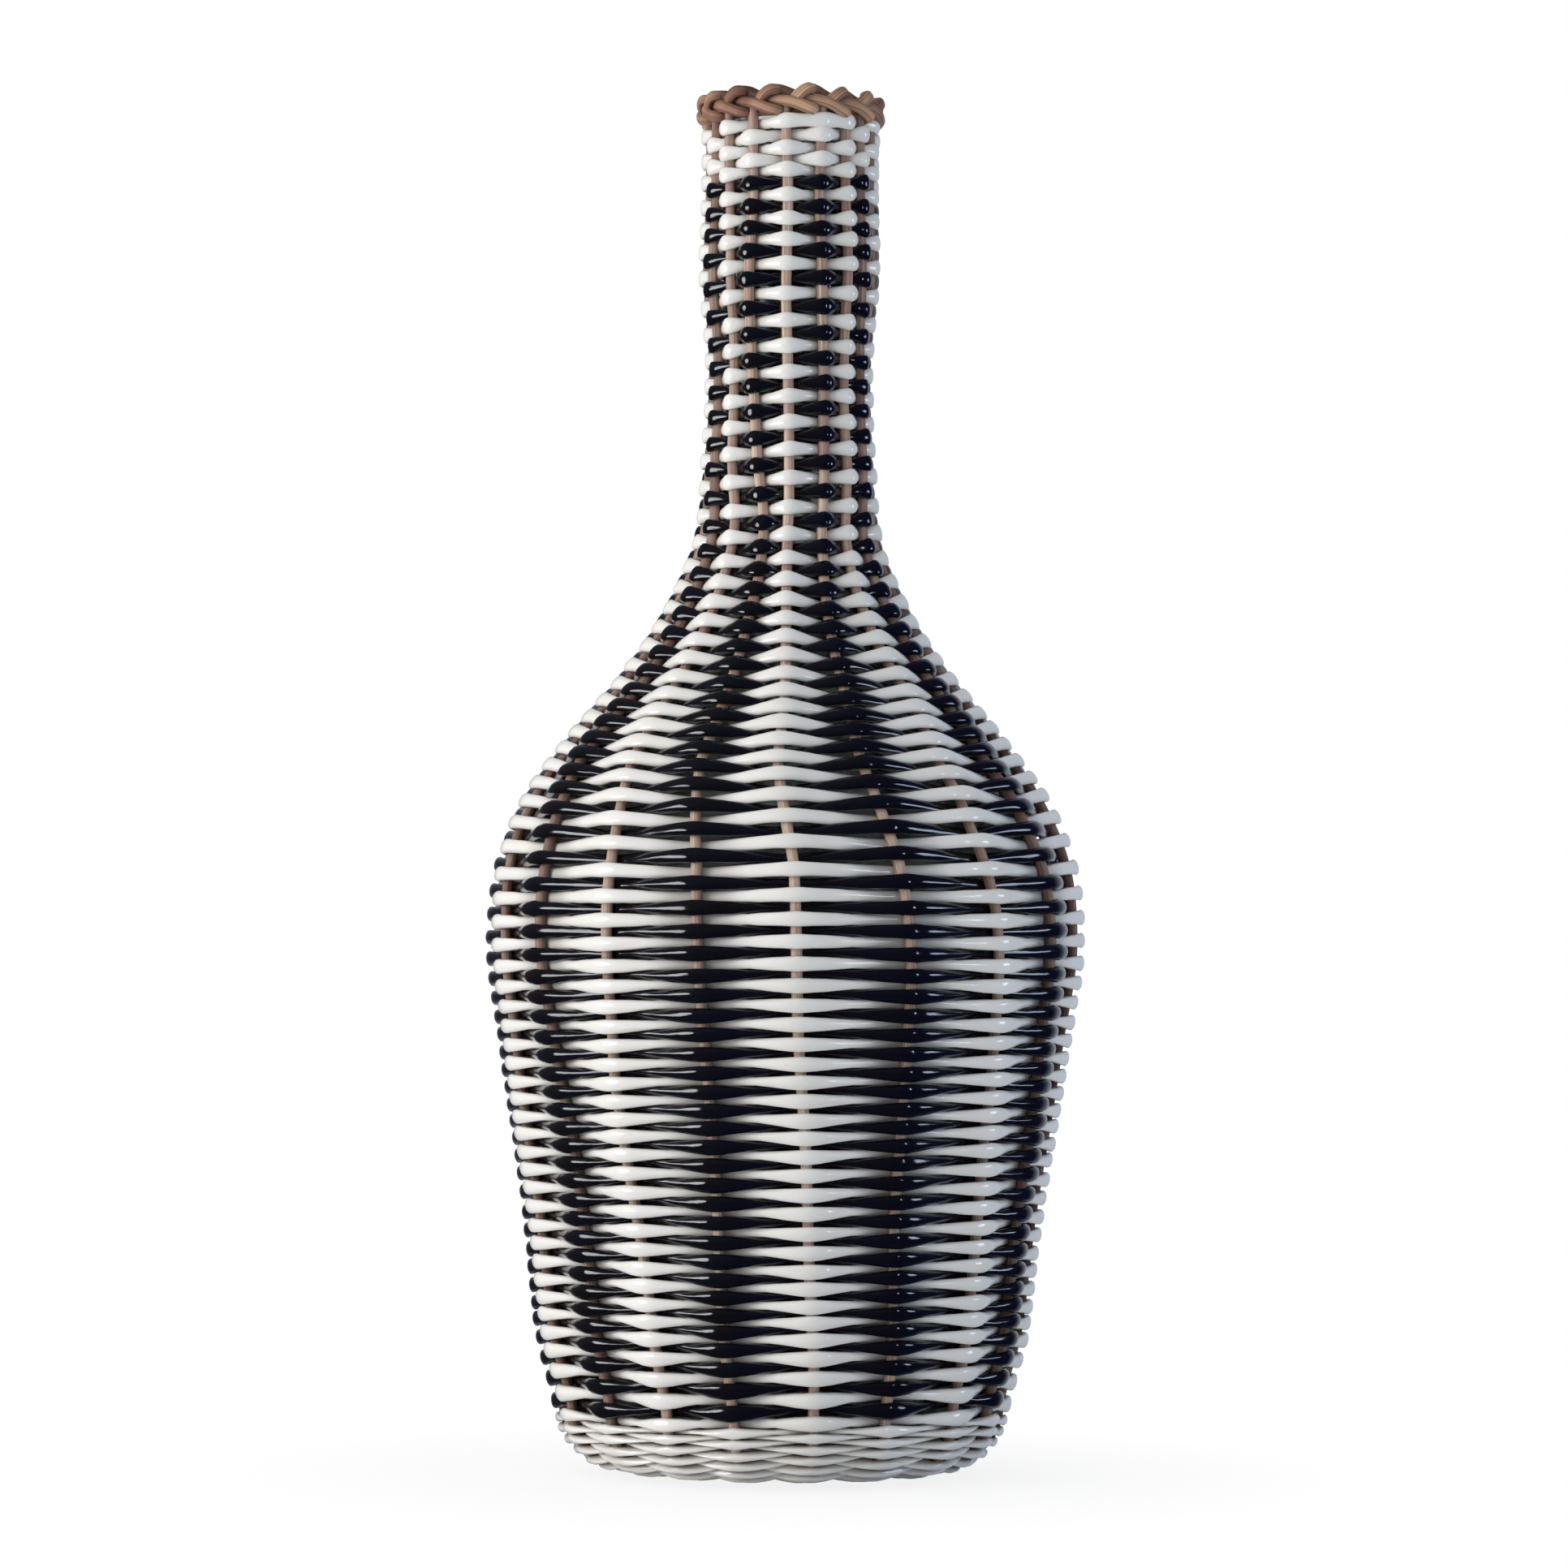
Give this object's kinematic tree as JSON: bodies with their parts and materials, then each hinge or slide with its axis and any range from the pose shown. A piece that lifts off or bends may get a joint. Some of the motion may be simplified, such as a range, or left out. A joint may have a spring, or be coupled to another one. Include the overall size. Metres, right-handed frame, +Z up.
{
  "type": "woven bottle",
  "caption": "Glass bottle with a slender neck in a close cover of ivory and black strand woven over rattan stakes, with a plaited rattan rim.",
  "frame": {"origin": "middle of the flat underside of the woven base, on the floor", "axes": "+Z up along the bottle's axis, -Y is the front seen in the picture, +X is to the right seen from the front"},
  "size_m": [0.1442, 0.1454, 0.3377],
  "materials": {
    "glass": "clear, polished, faintly green",
    "ivory_strand": "glossy soft plastic strand, flattened where it passes over a stake",
    "black_strand": "glossy near-black plastic strand",
    "stake_rattan": "peeled rattan core, fine long grain, matt",
    "rim_rattan": "aged rattan, brown, lightly worn",
    "base_weave": "ivory strand woven over rattan, seen from below"
  },
  "bodies": {
    "root": {"glass_bottle": "glass", "woven_base": "base_weave", "stake_01": "stake_rattan", "stake_02": "stake_rattan", "stake_03": "stake_rattan", "stake_04": "stake_rattan", "stake_05": "stake_rattan", "stake_06": "stake_rattan", "stake_07": "stake_rattan", "stake_08": "stake_rattan", "stake_09": "stake_rattan", "stake_10": "stake_rattan", "stake_11": "stake_rattan", "stake_12": "stake_rattan", "stake_13": "stake_rattan", "stake_14": "stake_rattan", "stake_15": "stake_rattan", "stake_16": "stake_rattan", "stake_17": "stake_rattan", "stake_18": "stake_rattan", "ivory_weaver": "ivory_strand", "base_band_weaver": "ivory_strand", "black_weaver": "black_strand", "neck_band_weaver": "ivory_strand", "rim_plait_1": "rim_rattan", "rim_plait_2": "rim_rattan", "rim_plait_3": "rim_rattan"}
  },
  "joints": []
}
